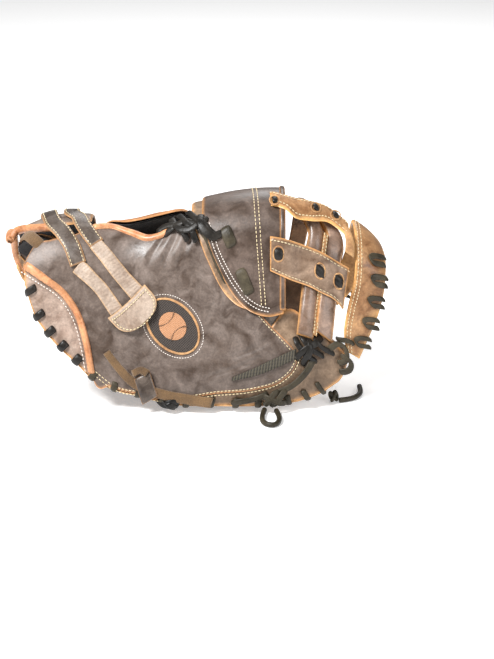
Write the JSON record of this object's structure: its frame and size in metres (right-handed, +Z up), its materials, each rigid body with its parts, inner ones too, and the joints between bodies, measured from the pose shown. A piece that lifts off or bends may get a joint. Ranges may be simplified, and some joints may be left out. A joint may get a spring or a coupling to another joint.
{
  "type": "baseball first-base mitt",
  "caption": "Worn leather first-base mitt for the right hand, folded and standing palm down, with a laced bar-and-strap web and an adjustable wrist opening.",
  "frame": {"origin": "on the floor, under the centre of the mitt's bounding box without its loose laces", "axes": "+X from the wrist to the web, -Y the finger side that carries the patch and the pull tab, +Y the thumb side, +Z up"},
  "size_m": [0.325, 0.1789, 0.1814],
  "materials": {
    "back_leather": "oiled, worn",
    "binding_leather": "satin",
    "black_lace": "waxed",
    "hook_and_loop": "matt",
    "lining_cloth": "matt",
    "pad_felt": "felted",
    "palm_leather": "oiled, worn",
    "patch_ground": "woven",
    "patch_thread": "embroidered",
    "suede": "napped",
    "tab_leather": "satin",
    "web_leather": "oiled, worn",
    "worn_lace": "waxed, worn"
  },
  "bodies": {
    "finger_side": {"crotch_lace": "black_lace", "cuff_binding_finger": "binding_leather", "edge_lace_finger": "black_lace", "finger_back_lining": "lining_cloth", "finger_back_panel": "back_leather", "finger_pad": "pad_felt", "fingertip_shell": "back_leather", "foot_lace_run": "worn_lace", "heel_binding_finger": "binding_leather", "heel_lace_finger": "black_lace", "heel_shell_finger": "back_leather", "hook_patch": "hook_and_loop", "keeper_loop": "suede", "lace_fold": "worn_lace", "lace_loop": "worn_lace", "lace_tail": "worn_lace", "palm_leather_finger": "palm_leather", "patch_ball": "patch_thread", "patch_ground": "patch_ground", "patch_rim": "patch_thread", "post_laces": "worn_lace", "rim_lace_finger": "worn_lace", "strap_band_knuckle_finger": "back_leather", "strap_band_wrist_finger": "back_leather", "strap_keeper": "back_leather", "suede_strap": "suede", "tip_knot": "worn_lace", "tip_lace": "worn_lace", "web_bar_far_finger": "web_leather", "web_bar_near_finger": "web_leather", "web_base_backing_finger": "web_leather", "web_base_finger": "web_leather", "web_foot_lace": "black_lace", "web_post_lower": "web_leather", "web_post_upper": "web_leather", "web_rim_finger": "web_leather", "wedge_inset": "web_leather", "window_binding_finger": "binding_leather", "wrist_cuff_finger": "back_leather"},
    "thumb_side": {"cuff_binding_thumb": "binding_leather", "edge_lace_thumb": "black_lace", "palm_leather_thumb": "palm_leather", "rim_lace_thumb": "worn_lace", "strap_band_knuckle_thumb": "back_leather", "strap_band_wrist_thumb": "back_leather", "thumb_back_lining": "lining_cloth", "thumb_back_panel": "back_leather", "thumb_pad": "pad_felt", "thumb_shell": "back_leather", "web_bar_far_thumb": "web_leather", "web_bar_near_thumb": "web_leather", "web_base_backing_thumb": "web_leather", "web_base_thumb": "web_leather", "web_rim_thumb": "web_leather", "window_binding_thumb": "binding_leather", "wrist_cuff_thumb": "back_leather"},
    "pull_tab": {"tab_pad": "tab_leather", "tab_band_wrist": "tab_leather", "tab_band_knuckle": "tab_leather", "loop_patch": "hook_and_loop"}
  },
  "joints": [
    {"name": "pocket_fold", "type": "hinge", "parent": "finger_side", "child": "thumb_side", "pos_m": [0, 0.00587, 0.17806], "axis": [1, 0, 0], "range_deg": [0, 30]},
    {"name": "tab_peel", "type": "hinge", "parent": "finger_side", "child": "pull_tab", "pos_m": [-0.09767, -0.04093, 0.11958], "axis": [-0.6173, -0.4249, -0.6621], "range_deg": [0, 60]}
  ]
}
